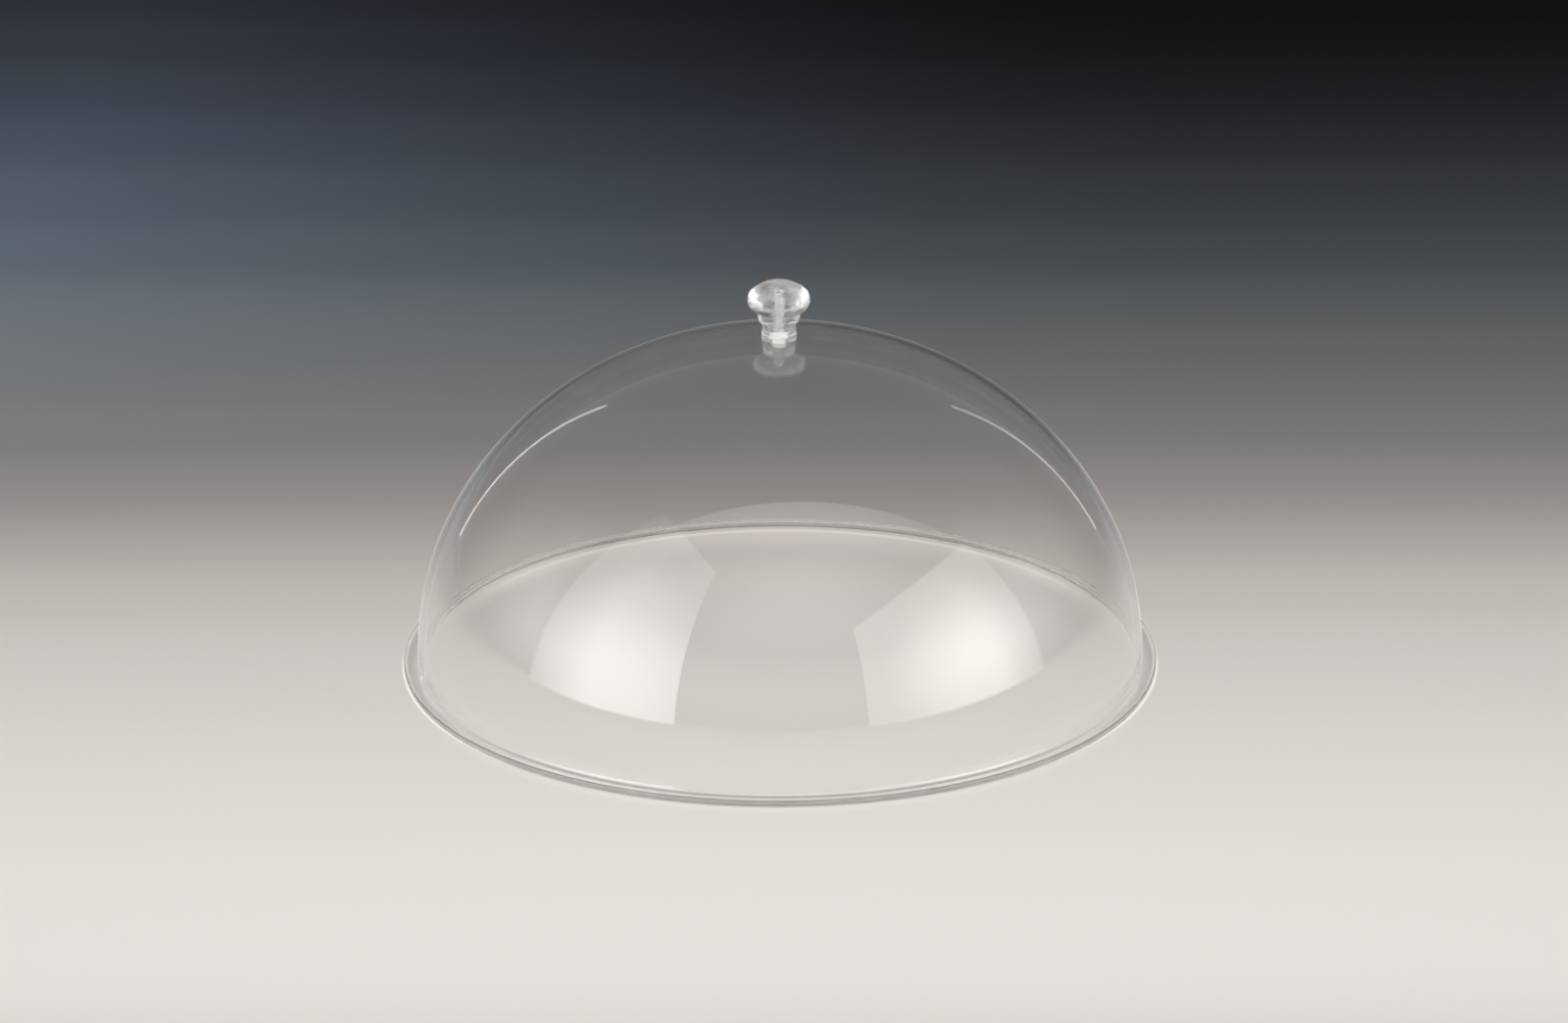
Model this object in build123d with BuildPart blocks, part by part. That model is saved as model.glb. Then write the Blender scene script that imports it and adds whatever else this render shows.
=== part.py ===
"""Clear acrylic food cover: a blown dome with a flat rim, lifted by a turned knob screwed to its crown.

The cover stands on its rim. The origin is at the centre of the rim's underside, and +Z runs up the
dome's axis. Every size is in millimetres.
"""

import os
from math import atan2, cos, degrees, radians, tan

from build123d import *

# Dome and rim, blown from one flat sheet
dome_diameter = 385.0
dome_height = 177.0
wall_at_rim = 3.0
wall_at_crown = 2.2
rim_width = 7.5
rim_thickness = 3.2
rim_edge_radius = 0.8
outer_bend_radius = 1.5
straight_wall = 0.5
wall_fullness = 0.5523

# M4 nylon screw that comes up through the crown into the knob
screw_diameter = 4.0
screw_length = 25.0
screw_tip_chamfer = 0.6
screw_head_diameter = 8.0
screw_head_height = 2.6
screw_head_round = 1.5
slot_width = 1.2
slot_depth = 1.4
thread_clearance = 0.1

# Nylon shoulder bush that keeps the screw off the crown, and the soft gasket under the knob
bush_diameter = 6.6
bush_reach = 2.2
bush_bore_clearance = 0.3
bush_hole_clearance = 0.4
bush_seat_clearance = 0.1
bush_end_room = 0.2
bush_end_chamfer = 0.3
flange_diameter = 9.2
flange_thickness = 1.0
gasket_thickness = 2.4

# Turned knob, from its foot upwards: each step outwards is measured from the one below it
knob_neck_diameter = 17.5
knob_neck_height = 6.8
knob_foot_bead = 0.4
knob_foot_height = 1.4
knob_foot_round = 0.3
knob_lip_width = 1.6
knob_lip_round = 1.2
knob_cup_height = 5.1
knob_cup_flare = 1.15
knob_head_overhang = 4.85
knob_head_slope = 35.0
knob_head_round = 6.6
knob_crown_height = 10.4
screw_tip_room = 2.0
drill_point_angle = 118.0

# Dome section: the bend keeps the rim's thickness, and both walls spring from one height to end level
dome_radius = dome_diameter / 2
rim_radius = dome_radius + rim_width
inner_radius = dome_radius - wall_at_rim
inner_bend_radius = outer_bend_radius + rim_thickness
spring_height = inner_bend_radius + straight_wall
outer_rise = dome_height - spring_height
inner_rise = outer_rise - wall_at_crown
ceiling_height = dome_height - wall_at_crown
outer_curve = (
    (dome_radius, spring_height),
    (dome_radius, spring_height + wall_fullness * outer_rise),
    (wall_fullness * dome_radius, dome_height),
    (0, dome_height),
)
inner_curve = (
    (inner_radius, spring_height),
    (inner_radius, spring_height + wall_fullness * inner_rise),
    (wall_fullness * inner_radius, ceiling_height),
    (0, ceiling_height),
)

# Stack on the dome's axis, from the screw head up to the knob
head_seat = ceiling_height - flange_thickness
knob_seat = dome_height + gasket_thickness
knob_hole_depth = head_seat + screw_length - knob_seat + screw_tip_room
bush_radius = bush_diameter / 2
bush_hole_radius = bush_radius + bush_hole_clearance / 2
bush_top = knob_seat + bush_reach
counterbore_depth = bush_reach + bush_end_room
counterbore_radius = bush_radius + bush_seat_clearance / 2
knob_foot_radius = knob_neck_diameter / 2 + knob_foot_bead

os.makedirs("parts", exist_ok=True)


# Dome shell: the dome and its rim in one piece, with the hole for the bush in the crown
with BuildPart() as dome_shell:
    with BuildSketch(Plane.XZ) as dome_section:
        with BuildLine():
            outer_wall = Bezier(*outer_curve)
            inner_wall = Bezier(*inner_curve)
            Line(outer_wall @ 1, inner_wall @ 1)
            Polyline(
                outer_wall @ 0,
                (dome_radius, rim_thickness),
                (rim_radius, rim_thickness),
                (rim_radius, 0),
                (inner_radius, 0),
                inner_wall @ 0,
            )
        make_face()
        outer_bend = dome_section.vertices().sort_by_distance((dome_radius, rim_thickness))[0]
        fillet(outer_bend, outer_bend_radius)
        inner_bend = dome_section.vertices().sort_by_distance((inner_radius, 0))[0]
        fillet(inner_bend, inner_bend_radius)
        rim_edges = dome_section.vertices().group_by(Axis.X)[-1]
        fillet(rim_edges, min(rim_edge_radius, 0.45 * rim_thickness))
    revolve(axis=Axis.Z)
    with Locations((0, 0, dome_height)):
        Hole(bush_hole_radius, depth=2 * wall_at_crown)
dome_shell.part.label = "dome_shell"
export_step(dome_shell.part, "parts/dome_shell.step")


# Knob gasket: a soft clear disc whose underside takes the curve of the crown
with BuildPart() as knob_gasket:
    with BuildSketch(Plane.XZ):
        with Locations((bush_hole_radius, dome_height - gasket_thickness)):
            Rectangle(
                knob_foot_radius - bush_hole_radius,
                2 * gasket_thickness,
                align=(Align.MIN, Align.MIN),
            )
        with BuildLine():
            crown_top = Bezier(*outer_curve)
            Polyline(crown_top @ 1, (0, spring_height), crown_top @ 0)
        make_face(mode=Mode.SUBTRACT)
    revolve(axis=Axis.Z)
knob_gasket.part.label = "knob_gasket"
export_step(knob_gasket.part, "parts/knob_gasket.step")


# Knob: foot bead, neck, cup and mushroom head turned from one rod, with a counterbored blind tapped hole
with BuildPart() as knob:
    neck_radius = knob_neck_diameter / 2
    lip_radius = neck_radius + knob_lip_width
    cup_radius = lip_radius + knob_cup_flare
    head_radius = cup_radius + knob_head_overhang
    cup_top = knob_neck_height + knob_cup_height
    slope_rise = knob_head_overhang * tan(radians(knob_head_slope))
    slope_length = knob_head_overhang / cos(radians(knob_head_slope))
    round_angle = 90 - knob_head_slope
    round_reach = tan(radians(round_angle / 2))
    head_round = min(knob_head_round, 0.9 * slope_length / round_reach, 0.9 * knob_crown_height)
    widest_height = cup_top + slope_rise + head_round * round_reach
    round_centre = head_radius - head_round
    crown_radius = (round_centre**2 + knob_crown_height**2 - head_round**2) / (
        2 * (knob_crown_height - head_round)
    )
    crown_drop = crown_radius - knob_crown_height
    crown_angle = degrees(atan2(crown_drop, round_centre))
    hole_radius = (screw_diameter + thread_clearance) / 2
    drill_point = hole_radius / tan(radians(drill_point_angle / 2))
    knob_plane = Plane(origin=(0, 0, knob_seat), x_dir=(1, 0, 0), z_dir=(0, -1, 0))
    with BuildSketch(knob_plane) as knob_section:
        with BuildLine():
            shoulder = CenterArc(
                (round_centre, widest_height), head_round, -round_angle, round_angle + crown_angle
            )
            crown = CenterArc(
                (0, widest_height - crown_drop), crown_radius, crown_angle, 90 - crown_angle
            )
            Polyline(
                shoulder @ 0,
                (cup_radius, cup_top),
                (lip_radius, knob_neck_height),
                (neck_radius, knob_neck_height),
                (neck_radius, knob_foot_height),
                (knob_foot_radius, knob_foot_height),
                (knob_foot_radius, 0),
                (counterbore_radius, 0),
                (counterbore_radius, counterbore_depth),
                (hole_radius, counterbore_depth),
                (hole_radius, knob_hole_depth),
                (0, knob_hole_depth + drill_point),
                crown @ 1,
            )
        make_face()
        lip_edge = knob_section.vertices().sort_by_distance((lip_radius, knob_neck_height))[0]
        fillet(lip_edge, min(knob_lip_round, 0.9 * knob_lip_width))
        foot_middle = (knob_foot_radius, knob_foot_height / 2)
        foot_edges = knob_section.vertices().sort_by_distance(foot_middle)[:2]
        fillet(foot_edges, min(knob_foot_round, 0.45 * knob_foot_height, 0.9 * knob_foot_bead))
    revolve(axis=Axis.Z)
knob.part.label = "knob"
export_step(knob.part, "parts/knob.step")


# Shoulder bush: a flange that takes the curve of the crown's ceiling, and a sleeve up into the knob's foot
with BuildPart() as shoulder_bush:
    bore_radius = (screw_diameter + bush_bore_clearance) / 2
    with BuildSketch(Plane.XZ):
        with Locations((bore_radius, head_seat)):
            Rectangle(
                flange_diameter / 2 - bore_radius,
                2 * flange_thickness,
                align=(Align.MIN, Align.MIN),
            )
        with BuildLine():
            ceiling = Bezier(*inner_curve)
            Polyline(ceiling @ 1, (0, spring_height), ceiling @ 0)
        make_face(mode=Mode.INTERSECT)
        with Locations((bore_radius, head_seat)):
            Rectangle(
                bush_radius - bore_radius,
                bush_top - head_seat,
                align=(Align.MIN, Align.MIN),
            )
    revolve(axis=Axis.Z)
    sleeve_end = shoulder_bush.edges().filter_by(GeomType.CIRCLE).group_by(Axis.Z)[-1]
    outer_edge = sleeve_end.sort_by(SortBy.RADIUS)[-1]
    chamfer(outer_edge, min(bush_end_chamfer, 0.4 * (bush_radius - bore_radius)))
shoulder_bush.part.label = "shoulder_bush"
export_step(shoulder_bush.part, "parts/shoulder_bush.step")


# Knob screw: a slotted pan head below the bush, and a shank up through it into the knob
with BuildPart() as knob_screw:
    with BuildSketch(Plane.XY.offset(head_seat)):
        Circle(screw_head_diameter / 2)
    extrude(amount=-screw_head_height)
    head_rim = knob_screw.edges().filter_by(GeomType.CIRCLE).sort_by(Axis.Z)[0]
    fillet(head_rim, min(screw_head_round, 0.9 * screw_head_height))
    with BuildSketch(Plane.XY.offset(head_seat - screw_head_height)):
        Rectangle(screw_head_diameter, slot_width)
    extrude(amount=slot_depth, mode=Mode.SUBTRACT)
    with BuildSketch(Plane.XY.offset(head_seat)):
        Circle(screw_diameter / 2)
    extrude(amount=screw_length)
    tip = knob_screw.edges().filter_by(GeomType.CIRCLE).sort_by(Axis.Z)[-1]
    chamfer(tip, screw_tip_chamfer)
knob_screw.part.label = "knob_screw"
export_step(knob_screw.part, "parts/knob_screw.step")
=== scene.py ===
"""Clear acrylic food cover on paper with painted light and shade: its turned pieces, their finishes, the
light and the camera.
"""

from math import atan2, cos, degrees, pi, radians, sin, tan

import bpy
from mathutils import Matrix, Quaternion, Vector


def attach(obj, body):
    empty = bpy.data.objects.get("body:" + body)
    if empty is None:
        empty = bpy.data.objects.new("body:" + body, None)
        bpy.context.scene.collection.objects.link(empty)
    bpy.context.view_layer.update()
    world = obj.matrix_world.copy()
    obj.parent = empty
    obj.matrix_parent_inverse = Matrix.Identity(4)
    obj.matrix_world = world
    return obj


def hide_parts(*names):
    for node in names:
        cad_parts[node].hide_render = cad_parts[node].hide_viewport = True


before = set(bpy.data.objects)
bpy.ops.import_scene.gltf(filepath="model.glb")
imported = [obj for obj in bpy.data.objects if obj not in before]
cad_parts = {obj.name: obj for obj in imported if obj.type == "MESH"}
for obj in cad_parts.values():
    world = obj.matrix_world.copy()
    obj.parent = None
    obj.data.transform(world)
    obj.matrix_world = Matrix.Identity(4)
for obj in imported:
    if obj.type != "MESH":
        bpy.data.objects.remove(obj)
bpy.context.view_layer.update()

MM = 0.001

# Dome and rim, in millimetres and degrees, like every size of the cover
dome_radius = 192.5
dome_height = 177.0
wall_at_rim = 3.0
wall_at_crown = 2.2
rim_width = 7.5
rim_thickness = 3.2
rim_edge_radius = 0.8
outer_bend_radius = 1.5
straight_wall = 0.5
wall_fullness = 0.5523

# Gasket and shoulder bush
gasket_thickness = 2.4
gasket_top_round = 0.4
gasket_edge = 0.3
sleeve_radius = 3.3
sleeve_reach = 2.2
sleeve_chamfer = 0.3
sleeve_end_room = 0.2
flange_radius = 4.6
flange_thickness = 1.0
flange_edge = 0.2
bush_bore_clearance = 0.15
crown_hole_clearance = 0.2

# Screw
screw_length = 25.0
screw_tip_room = 2.0
screw_head_radius = 4.0
screw_head_height = 2.6
screw_head_round = 1.5
slot_width = 1.2
slot_depth = 1.4
core_radius = 1.42
core_height = 1.0
thread_radius = 2.0
thread_root_radius = 1.62
thread_pitch = 0.7
thread_root_end = 0.1
thread_crest_start = 0.3
thread_crest_end = 0.45
thread_start = 0.8

# Knob, from its foot up: each step outwards is measured from the one below it
neck_radius = 8.75
neck_height = 6.8
neck_corner = 0.15
foot_bead = 0.4
foot_height = 1.4
foot_round = 0.3
foot_corner = 0.1
lip_width = 1.6
lip_round = 1.2
cup_height = 5.1
cup_flare = 1.15
cup_corner = ((0.16, 0.11), (-0.04, -0.18))
head_overhang = 4.85
head_slope = 35.0
head_round = 6.6
crown_height = 10.4
drill_point_angle = 118.0

# A thin film of air parts the pieces that meet, but the sleeve and the thread bite a little into the knob
film = 0.04
sleeve_bite = 0.03

# Sizes that several pieces share
inner_radius = dome_radius - wall_at_rim
inner_bend_radius = outer_bend_radius + rim_thickness
spring_height = inner_bend_radius + straight_wall
outer_rise = dome_height - spring_height
inner_rise = outer_rise - wall_at_crown
outer_wall = (dome_radius, outer_rise)
inner_wall = (inner_radius, inner_rise)
crown_hole_radius = sleeve_radius + crown_hole_clearance
head_seat = dome_height - wall_at_crown - flange_thickness
knob_seat = dome_height + gasket_thickness
sleeve_top = knob_seat + sleeve_reach
foot_radius = neck_radius + foot_bead

# Meshing, with distances in metres
weld_distance = 0.000002
thread_weld_distance = 0.000001
crease_angle = 32.0
thread_crease_angle = 20.0
thread_steps = 28

# Finishes, with places in metres
acrylic_ior = 1.49
seal_ior = 1.47
clear_tint = (0.985, 0.985, 0.98)
# The sanded edge is rough, and its warm grey tint is painted shade of the shaded paper under the rim seen
# through it
sanded_edge_painted_shade_tint = (0.68, 0.63, 0.59)
sanded_edge = (0.1990, 0.1996)
scuffed_rim = (0.0030, 0.0042)
knob_tint = (0.97, 0.97, 0.97)
seal_tones = ((0.78, 0.77, 0.75), (0.93, 0.92, 0.9))
bush_tones = ((0.84, 0.83, 0.8), (0.94, 0.935, 0.92))
# The screw's nylon is toned darker than the bush's as painted shade, for the shade inside the knob
screw_painted_shade_tones = ((0.52, 0.51, 0.49), (0.64, 0.63, 0.61))


# Sections and turning


def clear_selection():
    """Leaves nothing selected, the CAD nodes among them."""
    if bpy.context.object and bpy.context.object.mode != "OBJECT":
        bpy.ops.object.mode_set(mode="OBJECT")
    bpy.ops.object.select_all(action="DESELECT")


def wall_point(wall, share):
    """A point of a dome wall in section, from the spring line at 0 up to the axis at 1."""
    radius, rise = wall
    rest = 1 - share
    foot, lower, upper, top = rest**3, 3 * rest**2 * share, 3 * rest * share**2, share**3
    across = radius * (foot + lower + upper * wall_fullness)
    up = spring_height + rise * (lower * wall_fullness + upper + top)
    return across, up


def share_at(wall, across, halvings=50):
    """How far up its curve a dome wall comes within a given distance of the axis."""
    low, high = 0.0, 1.0
    for _ in range(halvings):
        middle = (low + high) / 2
        if wall_point(wall, middle)[0] > across:
            low = middle
        else:
            high = middle
    return low


def wall_between(wall, first_across, last_across, steps):
    """Points along a dome wall from one distance off the axis to another."""
    first = share_at(wall, first_across)
    last = share_at(wall, last_across)
    return [wall_point(wall, first + (last - first) * i / steps) for i in range(steps + 1)]


def arc(centre_across, centre_up, radius, first, last, steps):
    """Points on a round of the section, with angles in degrees."""
    points = []
    for i in range(steps + 1):
        angle = radians(first + (last - first) * i / steps)
        points.append((centre_across + radius * cos(angle), centre_up + radius * sin(angle)))
    return points


def draw_section(name, section):
    """Draws a section point by point from one vertex, and leaves it in edit mode."""
    clear_selection()
    bpy.ops.mesh.primitive_plane_add(size=MM, location=(0, 0, 0))
    piece = bpy.context.object
    piece.name = name
    piece.data.name = name
    bpy.ops.object.mode_set(mode="EDIT")
    bpy.ops.mesh.select_mode(type="VERT")
    bpy.ops.mesh.select_all(action="SELECT")
    bpy.ops.mesh.merge(type="CENTER")
    across, up = section[0]
    bpy.ops.transform.translate(value=(across * MM, 0, up * MM))
    for next_across, next_up in section[1:]:
        move = ((next_across - across) * MM, 0, (next_up - up) * MM)
        bpy.ops.mesh.extrude_vertices_move(TRANSFORM_OT_translate={"value": move})
        across, up = next_across, next_up
    return piece


def turn(name, section, steps):
    """Spins a drawn section round the axis, as on a lathe."""
    piece = draw_section(name, section)
    bpy.ops.mesh.select_all(action="SELECT")
    bpy.ops.mesh.spin(steps=steps, angle=2 * pi, center=(0, 0, 0), axis=(0, 0, 1))
    bpy.ops.mesh.select_all(action="SELECT")
    bpy.ops.mesh.remove_doubles(threshold=weld_distance)
    bpy.ops.mesh.normals_make_consistent(inside=False)
    bpy.ops.object.mode_set(mode="OBJECT")
    bpy.ops.object.shade_smooth_by_angle(angle=radians(crease_angle))
    return piece


def stands_for(piece, node, finish):
    """Puts a modelled piece in the place of its CAD node."""
    piece.data.materials.clear()
    piece.data.materials.append(finish)
    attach(piece, "root")
    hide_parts(node)


# Nodes that the finishes, the lights and the room are wired from


def feed(tree, source, socket):
    """Links a node's output to a socket, or sets the socket to a number or a colour."""
    if isinstance(source, bpy.types.NodeSocket):
        tree.links.new(source, socket)
    elif isinstance(source, tuple):
        socket.default_value = (*source, 1)
    else:
        socket.default_value = source


def spread(tree, value, source, result):
    """Brings a value from one range to another, and holds it there."""
    reach = tree.nodes.new("ShaderNodeMapRange")
    reach.inputs["From Min"].default_value, reach.inputs["From Max"].default_value = source
    reach.inputs["To Min"].default_value, reach.inputs["To Max"].default_value = result
    feed(tree, value, reach.inputs["Value"])
    return reach.outputs["Result"]


def calculate(tree, operation, first, second):
    """Works out one number from two."""
    working = tree.nodes.new("ShaderNodeMath")
    working.operation = operation
    feed(tree, first, working.inputs[0])
    feed(tree, second, working.inputs[1])
    return working.outputs["Value"]


def split(tree, vector):
    """The X, Y and Z of a vector."""
    parts = tree.nodes.new("ShaderNodeSeparateXYZ")
    feed(tree, vector, parts.inputs["Vector"])
    return parts.outputs


def length_of(tree, vector):
    """The length of a vector."""
    length = tree.nodes.new("ShaderNodeVectorMath")
    length.operation = "LENGTH"
    feed(tree, vector, length.inputs[0])
    return length.outputs["Value"]


def off_axis(tree, place):
    """Distance of a point from the cover's axis, in metres."""
    level = tree.nodes.new("ShaderNodeVectorMath")
    level.operation = "MULTIPLY"
    level.inputs[1].default_value = (1, 1, 0)
    feed(tree, place, level.inputs[0])
    return length_of(tree, level.outputs["Vector"])


def mix(tree, share, first, second, blend="MIX"):
    """Mixes two colours by a share, or multiplies the first by the second."""
    mixer = tree.nodes.new("ShaderNodeMix")
    mixer.data_type = "RGBA"
    mixer.blend_type = blend
    feed(tree, share, mixer.inputs["Factor"])
    feed(tree, first, mixer.inputs["A"])
    feed(tree, second, mixer.inputs["B"])
    return mixer.outputs["Result"]


def colour_stops(tree, value, stops, smooth=False):
    """A run of colours over a value from 0 to 1, smooth or in straight steps that may go above 1."""
    run = tree.nodes.new("ShaderNodeValToRGB")
    ramp = run.color_ramp
    ramp.interpolation = "CARDINAL" if smooth else "LINEAR"
    while len(ramp.elements) < len(stops):
        ramp.elements.new(0.5)
    for element, (position, colour) in zip(ramp.elements, stops):
        element.position = position
        element.color = (*colour, 1)
    feed(tree, value, run.inputs["Fac"])
    return run.outputs["Color"]


def between(first, last, stops):
    """Stops with their places given as shares of the way from first to last."""
    return [((place - first) / (last - first), colour) for place, colour in stops]


def greys(stops):
    """Stops of one tone each, as grey colours."""
    return [(place, (tone, tone, tone)) for place, tone in stops]


def noise(tree, place, scale, detail):
    """A noise of a given fineness over the piece."""
    texture = tree.nodes.new("ShaderNodeTexNoise")
    texture.inputs["Scale"].default_value = scale
    texture.inputs["Detail"].default_value = detail
    feed(tree, place, texture.inputs["Vector"])
    return texture.outputs["Fac"]


def relief(tree, sockets, height, strength, depth):
    """Raises a fine bump on the shader."""
    bump = tree.nodes.new("ShaderNodeBump")
    bump.inputs["Strength"].default_value = strength
    bump.inputs["Distance"].default_value = depth
    feed(tree, height, bump.inputs["Height"])
    feed(tree, bump.outputs["Normal"], sockets["Normal"])


def new_finish(name):
    """A finish with its node tree, its shader's sockets and the piece's own coordinates ready to wire."""
    finish = bpy.data.materials.new(name)
    finish.use_nodes = True
    tree = finish.node_tree
    place = tree.nodes.new("ShaderNodeTexCoord").outputs["Object"]
    return finish, tree, tree.nodes["Principled BSDF"].inputs, place


# Finishes


def blown_acrylic():
    """Clear polished sheet with a sheen, slightly scuffed in the flat rim and sanded round its edge, where
    a warm grey tint is painted shade.
    """
    finish, tree, sockets, place = new_finish("blown_dome_acrylic")
    sockets["IOR"].default_value = acrylic_ior
    sockets["Sheen Weight"].default_value = 1.0
    sockets["Sheen Roughness"].default_value = 0.22
    clear_above_rim = spread(tree, split(tree, place)["Z"], source=scuffed_rim, result=(0.92, 1))
    sanded = spread(tree, off_axis(tree, place), source=sanded_edge, result=(0, 1))
    clear_at_edge = spread(tree, sanded, source=(0, 1), result=(1, 0.85))
    clear = calculate(tree, "MULTIPLY", clear_above_rim, clear_at_edge)
    feed(tree, clear, sockets["Transmission Weight"])
    feed(tree, spread(tree, sanded, source=(0, 1), result=(0, 0.2)), sockets["Roughness"])
    # The warm grey in the sanded edge is painted shade
    feed(tree, mix(tree, sanded, clear_tint, sanded_edge_painted_shade_tint), sockets["Base Color"])
    return finish


def turned_acrylic():
    """Clear turned rod with a cloudy, speckled look and a fine unevenness."""
    finish, tree, sockets, place = new_finish("turned_knob_acrylic")
    feed(tree, knob_tint, sockets["Base Color"])
    sockets["IOR"].default_value = acrylic_ior
    cloud = noise(tree, place, scale=190, detail=6)
    clear = spread(tree, cloud, source=(0.4, 0.62), result=(0.98, 0.78))
    feed(tree, clear, sockets["Transmission Weight"])
    speckle = noise(tree, place, scale=300, detail=5)
    feed(tree, spread(tree, speckle, source=(0.35, 0.75), result=(0.02, 0.12)), sockets["Roughness"])
    relief(tree, sockets, speckle, strength=0.6, depth=0.0008)
    return finish


def cloudy_seal():
    """Soft clear plastic with a slightly cloudy, tacky surface."""
    finish, tree, sockets, place = new_finish("cloudy_clear_seal")
    sockets["Transmission Weight"].default_value = 0.9
    sockets["IOR"].default_value = seal_ior
    cloud = noise(tree, place, scale=420, detail=4)
    feed(tree, colour_stops(tree, cloud, list(enumerate(seal_tones))), sockets["Base Color"])
    feed(tree, spread(tree, cloud, source=(0.3, 0.7), result=(0.05, 0.22)), sockets["Roughness"])
    relief(tree, sockets, cloud, strength=0.4, depth=0.0004)
    return finish


def natural_nylon(name, tones):
    """Moulded natural nylon: milky, with a fine satin grain."""
    finish, tree, sockets, place = new_finish(name)
    milk = noise(tree, place, scale=300, detail=5)
    feed(tree, colour_stops(tree, milk, list(enumerate(tones))), sockets["Base Color"])
    feed(tree, spread(tree, milk, source=(0, 1), result=(0.34, 0.52)), sockets["Roughness"])
    relief(tree, sockets, milk, strength=0.2, depth=0.00005)
    return finish


# Pieces


def make_dome():
    """The dome and its flat rim, in section from the crown down, round the rim and up inside."""
    section = wall_between(outer_wall, crown_hole_radius, dome_radius, steps=72)
    bend_centre = dome_radius + outer_bend_radius
    section += arc(bend_centre, rim_thickness + outer_bend_radius, outer_bend_radius, 180, 270, steps=8)
    edge_centre = dome_radius + rim_width - rim_edge_radius
    section += arc(edge_centre, rim_thickness - rim_edge_radius, rim_edge_radius, 90, 0, steps=6)
    section += arc(edge_centre, rim_edge_radius, rim_edge_radius, 0, -90, steps=6)
    bend_centre = inner_radius + inner_bend_radius
    section += arc(bend_centre, inner_bend_radius, inner_bend_radius, 270, 180, steps=14)
    section += wall_between(inner_wall, inner_radius, crown_hole_radius, steps=72)
    section.append(section[0])
    dome = turn("clear_dome", section, steps=240)
    stands_for(dome, "dome_shell", blown_acrylic())
    return dome


def make_knob():
    """The knob, in section from its crown down to the foot and up into the tapped hole."""
    lip_radius = neck_radius + lip_width
    cup_radius = lip_radius + cup_flare
    cup_top = neck_height + cup_height
    cup_lean = atan2(cup_flare, cup_height)
    lip_centre = lip_radius + lip_round * tan(cup_lean) - lip_round / cos(cup_lean)
    round_angle = 90 - head_slope
    slope_rise = head_overhang * tan(radians(head_slope))
    widest_height = cup_top + slope_rise + head_round * tan(radians(round_angle / 2))
    round_centre = cup_radius + head_overhang - head_round
    crown_radius = (round_centre**2 + crown_height**2 - head_round**2) / (2 * (crown_height - head_round))
    crown_drop = crown_radius - crown_height
    crown_angle = degrees(atan2(crown_drop, round_centre))
    section = arc(0, widest_height - crown_drop, crown_radius, 90, crown_angle, steps=24)
    section += arc(round_centre, widest_height, head_round, crown_angle, -round_angle, steps=22)[1:]
    section += [(cup_radius + out, cup_top + up) for out, up in cup_corner]
    section += arc(lip_centre, neck_height + lip_round, lip_round, -degrees(cup_lean), -90, steps=10)
    section.append((neck_radius + neck_corner, neck_height))
    section.append((neck_radius, neck_height - neck_corner))
    section.append((neck_radius, foot_height + foot_corner))
    foot_centre = foot_radius - foot_round
    section += arc(foot_centre, foot_height - foot_round, foot_round, 90, 0, steps=6)
    section += arc(foot_centre, foot_round, foot_round, 0, -90, steps=6)
    counterbore_radius = sleeve_radius - sleeve_bite
    counterbore_depth = sleeve_reach + sleeve_end_room
    hole_radius = (thread_radius + thread_root_radius) / 2
    hole_depth = head_seat + screw_length + screw_tip_room - knob_seat
    drill_point = hole_radius / tan(radians(drill_point_angle / 2))
    section.append((counterbore_radius, 0))
    section.append((counterbore_radius, counterbore_depth))
    section.append((hole_radius, counterbore_depth))
    section.append((hole_radius, hole_depth))
    section.append((0, hole_depth + drill_point))
    section = [(across, up + knob_seat) for across, up in section]
    knob = turn("turned_knob", section, steps=160)
    stands_for(knob, "knob", turned_acrylic())
    return knob


def make_gasket():
    """The gasket, flat under the knob's foot and curved to the crown below."""
    top = knob_seat - film
    under = wall_between(outer_wall, foot_radius - gasket_edge, crown_hole_radius, steps=8)
    section = [(crown_hole_radius, top)]
    section += arc(foot_radius - gasket_top_round, top - gasket_top_round, gasket_top_round, 90, 0, steps=5)
    section.append((foot_radius, under[0][1] + film + gasket_edge))
    section += [(across, up + film) for across, up in under]
    section.append(section[0])
    gasket = turn("soft_gasket", section, steps=128)
    stands_for(gasket, "knob_gasket", cloudy_seal())
    return gasket


def make_bush():
    """The shoulder bush: a flange under the ceiling, and a sleeve up into the knob's foot."""
    bore_radius = thread_radius + bush_bore_clearance
    flange_top = wall_between(inner_wall, flange_radius - flange_edge, sleeve_radius, steps=5)
    section = [(bore_radius, head_seat)]
    section.append((flange_radius - flange_edge, head_seat))
    section.append((flange_radius, head_seat + flange_edge))
    section.append((flange_radius, flange_top[0][1] - film - flange_edge))
    section += [(across, up - film) for across, up in flange_top]
    section.append((sleeve_radius, sleeve_top - sleeve_chamfer))
    section.append((sleeve_radius - sleeve_chamfer, sleeve_top))
    section.append((bore_radius, sleeve_top))
    section.append(section[0])
    bush = turn("shoulder_bush", section, steps=96)
    stands_for(bush, "shoulder_bush", natural_nylon("bush_nylon", bush_tones))
    return bush


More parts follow.
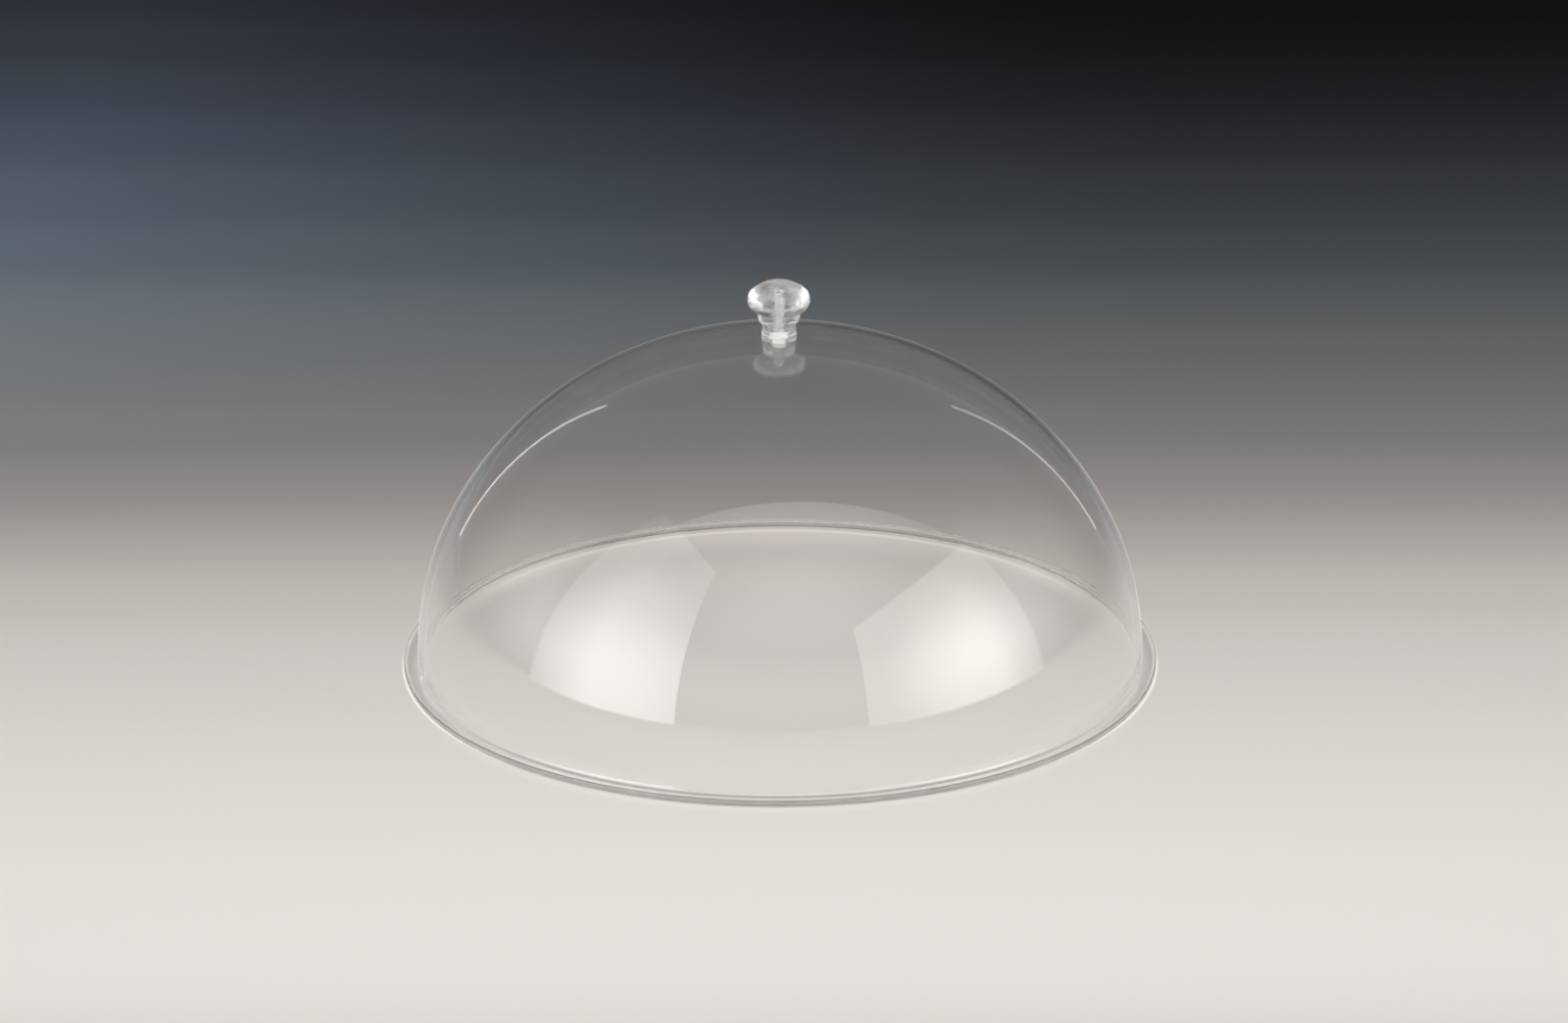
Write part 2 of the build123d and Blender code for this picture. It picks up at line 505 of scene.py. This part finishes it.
def make_screw_head():
    """The screw's pan head, with a short core above it and a slot sawn across it from below."""
    bottom = head_seat - screw_head_height
    section = [(0, bottom)]
    round_centre = screw_head_radius - screw_head_round
    section += arc(round_centre, bottom + screw_head_round, screw_head_round, 270, 360, steps=8)
    section.append((screw_head_radius, head_seat - film))
    section.append((core_radius, head_seat - film))
    section.append((core_radius, head_seat + core_height))
    section.append((0, head_seat + core_height))
    head = turn("nylon_screw", section, steps=64)
    clear_selection()
    bpy.ops.mesh.primitive_cube_add(size=1, location=(0, 0, bottom * MM))
    slot_block = bpy.context.object
    slot_block.scale = (3 * screw_head_radius * MM, slot_width * MM, 2 * slot_depth * MM)
    bpy.ops.object.transform_apply(location=True, rotation=True, scale=True)
    cut = head.modifiers.new("slot", "BOOLEAN")
    cut.operation = "DIFFERENCE"
    cut.solver = "EXACT"
    cut.object = slot_block
    clear_selection()
    head.select_set(True)
    bpy.context.view_layer.objects.active = head
    bpy.ops.object.modifier_apply(modifier="slot")
    bpy.data.objects.remove(slot_block)
    return head


def make_thread():
    """The screw's thread, wound from one turn's profile and cut off square at both ends."""
    profile = [
        (thread_root_radius, head_seat),
        (thread_root_radius, head_seat + thread_root_end),
        (thread_radius, head_seat + thread_crest_start),
        (thread_radius, head_seat + thread_crest_end),
        (thread_root_radius, head_seat + thread_pitch),
    ]
    thread = draw_section("screw_thread", profile)
    bpy.ops.object.mode_set(mode="OBJECT")
    wind = thread.modifiers.new("wind", "SCREW")
    wind.axis = "Z"
    wind.angle = 2 * pi
    wind.screw_offset = thread_pitch * MM
    wind.iterations = int(screw_length / thread_pitch) + 2
    wind.steps = thread_steps
    wind.render_steps = thread_steps
    wind.use_merge_vertices = True
    wind.merge_threshold = thread_weld_distance
    bpy.ops.object.modifier_apply(modifier="wind")
    bpy.ops.object.mode_set(mode="EDIT")
    bpy.ops.mesh.select_all(action="SELECT")
    bpy.ops.mesh.remove_doubles(threshold=thread_weld_distance)
    for cut_height, cut_above in ((head_seat + thread_start, False), (head_seat + screw_length, True)):
        bpy.ops.mesh.select_all(action="SELECT")
        bpy.ops.mesh.bisect(
            plane_co=(0, 0, cut_height * MM),
            plane_no=(0, 0, 1),
            use_fill=True,
            clear_outer=cut_above,
            clear_inner=not cut_above,
        )
    bpy.ops.mesh.select_all(action="SELECT")
    bpy.ops.mesh.normals_make_consistent(inside=False)
    bpy.ops.object.mode_set(mode="OBJECT")
    bpy.ops.object.shade_smooth_by_angle(angle=radians(thread_crease_angle))
    return thread


def make_screw():
    """The screw: its slotted head joined to its thread."""
    screw = make_screw_head()
    thread = make_thread()
    clear_selection()
    thread.select_set(True)
    screw.select_set(True)
    bpy.context.view_layer.objects.active = screw
    bpy.ops.object.join()
    # Its nylon is toned darker than the bush's, as painted shade
    stands_for(screw, "knob_screw", natural_nylon("screw_nylon_painted_shade", screw_painted_shade_tones))
    return screw


dome = make_dome()
knob = make_knob()
gasket = make_gasket()
bush = make_bush()
screw = make_screw()

# Clear pieces cast no shadow, so light reaches what is under and inside them
for piece in (dome, knob, gasket):
    piece.visible_shadow = False
    piece.visible_diffuse = False


# Table, in metres

table_size = 60
table_drop = 0.0002

# Painted light on the paper from front to back, a pool of light in front that falls off to dark behind:
# place along Y, and colour
near_edge, far_edge = -0.6, 3.0
painted_light_paper_tones = (
    (-0.5, (0.7, 0.68, 0.65)),
    (-0.38, (0.86, 0.82, 0.78)),
    (-0.1, (0.73, 0.7, 0.66)),
    (0.04, (0.62, 0.58, 0.55)),
    (0.13, (0.5, 0.47, 0.44)),
    (0.22, (0.35, 0.32, 0.31)),
    (0.32, (0.23, 0.22, 0.22)),
    (0.42, (0.17, 0.17, 0.17)),
    (0.66, (0.086, 0.094, 0.1)),
    (0.8, (0.052, 0.058, 0.065)),
    (0.95, (0.033, 0.036, 0.041)),
    (1.1, (0.02, 0.021, 0.025)),
    (1.25, (0.012, 0.0125, 0.014)),
    (1.4, (0.008, 0.008, 0.009)),
    (1.6, (0.006, 0.006, 0.006)),
    (1.9, (0.006, 0.006, 0.006)),
    (2.4, (0.05, 0.05, 0.05)),
)

# Painted bluish light makes the paper lighter and bluer towards its far left
painted_blue_light_left = (0.3, -0.55)
painted_blue_light_behind = (0.2, 1.37)
painted_blue_light_onset = 1.7
painted_blue_light_gain = (4.7, 5.4, 6.3)

# Light and shade along the rim, painted on the paper because the clear rim casts no shadow on it:
# distance from the axis, and what the paper's tone is multiplied by
ring_bounds = (0.14, 0.22)
near_rim_shade = (
    (0.1895, 1.0),
    (0.1908, 0.55),
    (0.1928, 0.55),
    (0.1938, 1.22),
    (0.1970, 1.22),
    (0.1985, 0.85),
    (0.2001, 0.85),
    (0.2004, 1.08),
    (0.2030, 1.06),
    (0.2080, 1.0),
)
side_rim_shade = (
    (0.1650, 1.0),
    (0.1840, 1.02),
    (0.1890, 1.04),
    (0.1915, 1.12),
    (0.1928, 1.18),
    (0.1940, 1.02),
    (0.1955, 0.90),
    (0.1972, 0.86),
    (0.1982, 1.2),
    (0.1990, 1.45),
    (0.2003, 1.48),
    (0.2010, 1.1),
    (0.2018, 1.0),
)
quarter_rim_shade = (
    (0.1760, 1.0),
    (0.1840, 1.22),
    (0.1880, 1.35),
    (0.1900, 1.25),
    (0.1920, 1.23),
    (0.1940, 1.08),
    (0.1960, 1.18),
    (0.1980, 1.3),
    (0.2000, 1.48),
    (0.2020, 1.2),
    (0.2040, 1.08),
    (0.2060, 1.0),
)
# Behind, the painted light also spreads inward over the paper inside the cover
far_rim_shade = (
    (0.1500, 1.0),
    (0.1600, 1.1),
    (0.1720, 1.3),
    (0.1850, 1.4),
    (0.1862, 1.7),
    (0.1892, 1.7),
    (0.1906, 1.3),
    (0.1985, 1.2),
    (0.2002, 1.3),
    (0.2030, 1.2),
    (0.2050, 1.0),
)

# Where along Y each shade gives way to the next one back
rim_turns = (
    (side_rim_shade, (-0.16, -0.08)),
    (quarter_rim_shade, (0.02, 0.12)),
    (far_rim_shade, (0.09, 0.19)),
)


def rim_ring(tree, ring, shade):
    """One ring of painted light and shade along the rim, all round."""
    return colour_stops(tree, ring, between(*ring_bounds, greys(shade)))


def paper_with_painted_light():
    """Matt paper with a painted pool of light in front that falls off to dark behind, and the painted light
    and shade along the rim.
    """
    finish, tree, sockets, place = new_finish("table_paper_with_painted_light")
    sockets["Roughness"].default_value = 0.9
    sockets["Specular IOR Level"].default_value = 0
    along = split(tree, place)
    depth = spread(tree, along["Y"], source=(near_edge, far_edge), result=(0, 1))
    # The paper's tone is painted light: a pool of light in front, falling off to dark behind
    paper = colour_stops(tree, depth, between(near_edge, far_edge, painted_light_paper_tones), smooth=True)
    # Painted bluish light towards the far left
    left = spread(tree, along["X"], source=painted_blue_light_left, result=(0, 1))
    behind = spread(tree, along["Y"], source=painted_blue_light_behind, result=(0, 1))
    painted_blue_light = calculate(tree, "POWER", calculate(tree, "MULTIPLY", left, behind), painted_blue_light_onset)
    paper = mix(tree, painted_blue_light, paper, painted_blue_light_gain, blend="MULTIPLY")
    ring = spread(tree, off_axis(tree, place), source=ring_bounds, result=(0, 1))
    rim = rim_ring(tree, ring, near_rim_shade)
    for shade, turn_bounds in rim_turns:
        turned = spread(tree, along["Y"], source=turn_bounds, result=(0, 1))
        rim = mix(tree, turned, rim, rim_ring(tree, ring, shade))
    feed(tree, mix(tree, 1, paper, rim, blend="MULTIPLY"), sockets["Base Color"])
    return finish


clear_selection()
bpy.ops.mesh.primitive_plane_add(size=table_size, location=(0, 0, -table_drop))
table = bpy.context.object
table.name = "table"
table.data.materials.append(paper_with_painted_light())


# Light, in metres


def light_panel(name, centre, facing, size, radiance, shows_on, colour=(1, 1, 1), lean=0):
    """A soft rectangular light out of the camera's sight, which faces a point and leans to one side.

    shows_on says where its light is met: on matt faces, in gloss, or through clear walls.
    """
    clear_selection()
    bpy.ops.object.light_add(type="AREA", location=centre)
    panel = bpy.context.object
    panel.name = name
    panel.data.shape = "RECTANGLE"
    panel.data.size, panel.data.size_y = size
    panel.data.energy = radiance * pi * size[0] * size[1]
    panel.data.color = colour
    aim = (Vector(facing) - Vector(centre)).to_track_quat("-Z", "Y")
    turned = aim @ Quaternion((0, 0, 1), radians(lean))
    panel.rotation_euler = turned.to_euler()
    panel.visible_camera = False
    panel.visible_diffuse = "matt" in shows_on
    panel.visible_glossy = "gloss" in shows_on
    panel.visible_transmission = "clear" in shows_on
    return panel


def hot_spot(panel, across, up, reach, edge, dim_end=None):
    """Makes a panel brightest at one spot of its face, and lets one end of it go dim.

    dim_end gives how far across the dimming starts, the end that it goes to, and the share left there.
    """
    panel.data.use_nodes = True
    tree = panel.data.node_tree
    face = tree.nodes.new("ShaderNodeNewGeometry").outputs["Parametric"]
    away = tree.nodes.new("ShaderNodeMapping")
    width, height = panel.data.size, panel.data.size_y
    away.inputs["Location"].default_value = (-across * width, -up * height, 0)
    away.inputs["Scale"].default_value = (width, height, 1)
    feed(tree, face, away.inputs["Vector"])
    fall = tree.nodes.new("ShaderNodeMapRange")
    fall.interpolation_type = "SMOOTHSTEP"
    fall.inputs["From Max"].default_value = reach
    fall.inputs["To Min"].default_value = 1
    fall.inputs["To Max"].default_value = edge
    feed(tree, length_of(tree, away.outputs["Vector"]), fall.inputs["Value"])
    glow = fall.outputs["Result"]
    if dim_end is not None:
        start, end, share = dim_end
        dimmed = spread(tree, split(tree, face)["X"], source=(start, end), result=(1, share))
        glow = calculate(tree, "MULTIPLY", glow, dimmed)
    feed(tree, glow, tree.nodes["Emission"].inputs["Strength"])


left_softbox = light_panel(
    "left_softbox",
    centre=(-1.666, -1.282, 1.77),
    facing=(0.218, -0.612, 1.77),
    size=(1.98, 3.54),
    radiance=4.0,
    shows_on=("gloss", "clear"),
)
hot_spot(left_softbox, across=0.42, up=0.12, reach=2.6, edge=0.22, dim_end=(0.36, 0, 0.3))
right_softbox = light_panel(
    "right_softbox",
    centre=(1.639, -1.293, 0.92),
    facing=(-0.221, -0.561, 0.92),
    size=(2.47, 1.84),
    radiance=4.2,
    shows_on=("gloss", "clear"),
    colour=(1, 0.97, 0.93),
)
hot_spot(right_softbox, across=0.66, up=0.3, reach=1.45, edge=0.32, dim_end=(0.77, 1, 0.4))
top_panel = light_panel(
    "top_panel",
    centre=(0.31, -2.18, 2.2),
    facing=(0.31, -2.18, 0),
    size=(5.0, 3.6),
    radiance=1.6,
    shows_on=("gloss", "clear"),
    colour=(1, 0.98, 0.96),
    lean=5,
)
hot_spot(top_panel, across=0.5, up=0.68, reach=3.0, edge=0.0)
light_panel(
    "room_fill",
    centre=(0, 0.2, 3),
    facing=(0, 0.2, 0),
    size=(4, 4),
    radiance=2.14,
    shows_on=("matt",),
)
front_fill = light_panel(
    "front_fill",
    centre=(0, -2.6, 1.2),
    facing=(0, 0, 0.19),
    size=(3, 2),
    radiance=1.6,
    shows_on=("matt",),
)

# The front fill reaches the knob and what holds it, and nothing else
knob_pieces = bpy.data.collections.new("lit_by_front_fill")
for piece in (knob, gasket, bush, screw):
    knob_pieces.objects.link(piece)
front_fill.light_linking.receiver_collection = knob_pieces

# Two narrow strips behind the cover, each a bright line in its wall
strip_target = (0, 0, 0.12)
strip_lean = 17
light_panel(
    "left_strip",
    centre=(-1.179, 1.593, 0.575),
    facing=strip_target,
    size=(0.045, 1.2),
    radiance=2.6,
    shows_on=("gloss",),
    lean=strip_lean,
)
light_panel(
    "right_strip",
    centre=(1.205, 1.581, 0.62),
    facing=strip_target,
    size=(0.045, 1.19),
    radiance=1.8,
    shows_on=("gloss",),
    lean=-strip_lean,
)


# Room round the table: its tones from in front to behind, and the share of them left by height

depth_tones = (
    (-1.0, 0.6),
    (-0.8, 0.6),
    (0.0, 1.2),
    (0.3, 0.35),
    (0.64, 0.01),
    (1.0, 0.01),
)
height_tones = (
    (0.0, 0.1),
    (0.08, 0.45),
    (0.2, 1.0),
    (0.35, 1.0),
    (0.5, 0.55),
    (0.75, 0.05),
)


def studio_room():
    """A room that is brightest at the sides and dark behind, and dimmer along the floor and high up."""
    room = bpy.data.worlds.new("studio")
    room.use_nodes = True
    tree = room.node_tree
    direction = split(tree, tree.nodes.new("ShaderNodeTexCoord").outputs["Generated"])
    depth = spread(tree, direction["Y"], source=(-1, 1), result=(0, 1))
    by_depth = colour_stops(tree, depth, between(-1, 1, greys(depth_tones)))
    by_height = colour_stops(tree, direction["Z"], greys(height_tones))
    tone = mix(tree, 1, by_depth, by_height, blend="MULTIPLY")
    feed(tree, tone, tree.nodes["Background"].inputs["Color"])
    return room


bpy.context.scene.world = studio_room()


# Camera, in metres and degrees

camera_place = (0, -2.18105, 0.88563)
camera_turn = (69.7518, 0.1678, -0.123)

clear_selection()
bpy.ops.object.camera_add(location=camera_place, rotation=[radians(angle) for angle in camera_turn])
camera = bpy.context.object
camera.name = "camera"
camera.data.sensor_width = 36
camera.data.lens = 101.25
camera.data.clip_end = 60
bpy.context.scene.camera = camera
bpy.context.scene.view_settings.view_transform = "Standard"

# Light travels far inside clear walls, so its path isn't cut short
bpy.context.scene.cycles.max_bounces = 40
bpy.context.scene.cycles.glossy_bounces = 32
bpy.context.scene.cycles.transmission_bounces = 40
